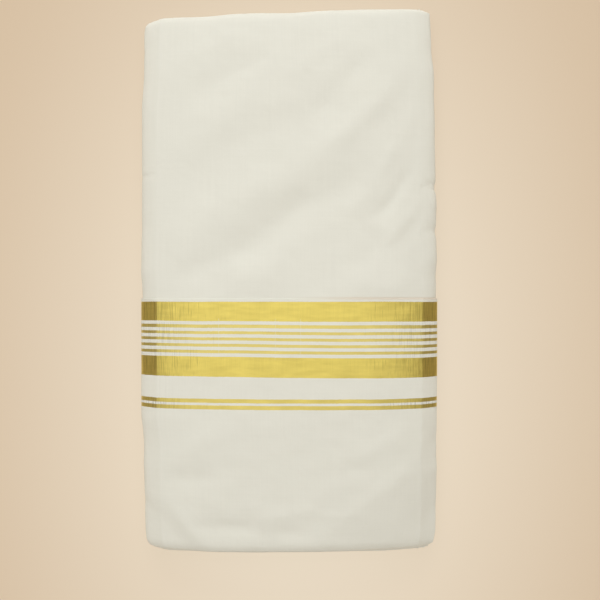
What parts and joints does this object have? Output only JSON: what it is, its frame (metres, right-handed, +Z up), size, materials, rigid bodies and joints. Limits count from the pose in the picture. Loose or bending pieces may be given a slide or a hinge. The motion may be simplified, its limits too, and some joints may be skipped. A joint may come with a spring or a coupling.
{
  "type": "folded dhoti cloth",
  "caption": "Cream cotton dhoti folded flat into a long layered pack, its turned-up border flap showing broad and fine gold zari stripes across the middle.",
  "frame": {"origin": "centre of the pack's underside, on the surface it lies on", "axes": "+Y along the pack towards its upper end, away from the border flap; +X across it, to the side with the layered turns; +Z up, out of the front face"},
  "size_m": [0.2396, 0.4439, 0.032],
  "materials": {
    "cotton": "fine plain-woven cream cotton, matte with a faint sheen",
    "cotton_inner": "the same cream cotton, seen at the edges of its folded layers",
    "zari_border": "the same cream cotton with woven stripes of gold metallic zari thread across it"
  },
  "bodies": {
    "root": {"folded_layers": "cotton_inner", "upper_panel": "cotton", "border_flap": "zari_border"}
  },
  "joints": []
}
